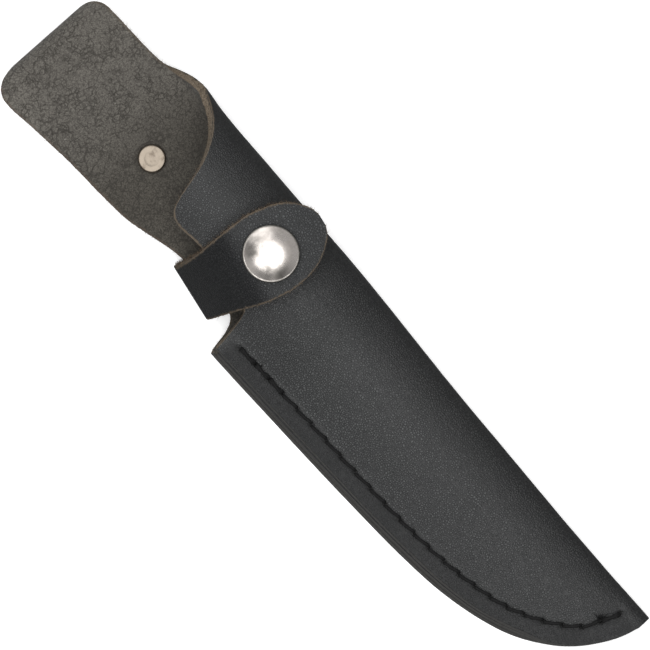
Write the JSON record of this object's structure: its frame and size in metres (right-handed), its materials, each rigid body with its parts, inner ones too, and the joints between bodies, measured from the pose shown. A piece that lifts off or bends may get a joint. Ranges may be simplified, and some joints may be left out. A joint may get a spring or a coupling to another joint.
{
  "type": "knife sheath",
  "caption": "Folded and sewn black leather belt sheath for a small fixed-blade knife, with a fold-back belt loop and a keeper strap that closes with a domed press stud.",
  "frame": {"origin": "centre of the footprint, on the surface the sheath's back lies on", "axes": "+X towards the tip, +Y towards the folded spine, +Z out of the front face"},
  "size_m": [0.2176, 0.045, 0.0266],
  "materials": {
    "sheath_leather": "black pigmented grain, satin, with taupe flesh side and tan cut edges",
    "strap_leather": "black pigmented grain, satin, with fuzzy tan cut edges",
    "welt": "black, sanded and burnished edge",
    "thread": "black twisted and waxed",
    "snap_nickel": "polished nickel plate",
    "rivet_nickel": "warm nickel plate, satin",
    "spring_wire": "drawn spring wire"
  },
  "bodies": {
    "sheath": {"sheath_leather": "sheath_leather", "welt": "welt", "strap_anchor": "strap_leather", "needle_thread": "thread", "bobbin_thread": "thread", "snap_stud": "snap_nickel", "snap_eyelet": "snap_nickel", "belt_rivet_cap": "rivet_nickel", "belt_rivet_post": "rivet_nickel", "strap_rivet_cap": "rivet_nickel", "strap_rivet_post": "rivet_nickel"},
    "strap": {"strap_flap": "strap_leather", "snap_cap": "snap_nickel", "snap_socket": "snap_nickel", "snap_spring": "spring_wire"}
  },
  "joints": [
    {"name": "strap_hinge", "type": "hinge", "parent": "sheath", "child": "strap", "pos_m": [-0.03411, -0.01609, 0.0036], "axis": [0.9866, -0.1633, 0], "range_deg": [0, 140]}
  ]
}
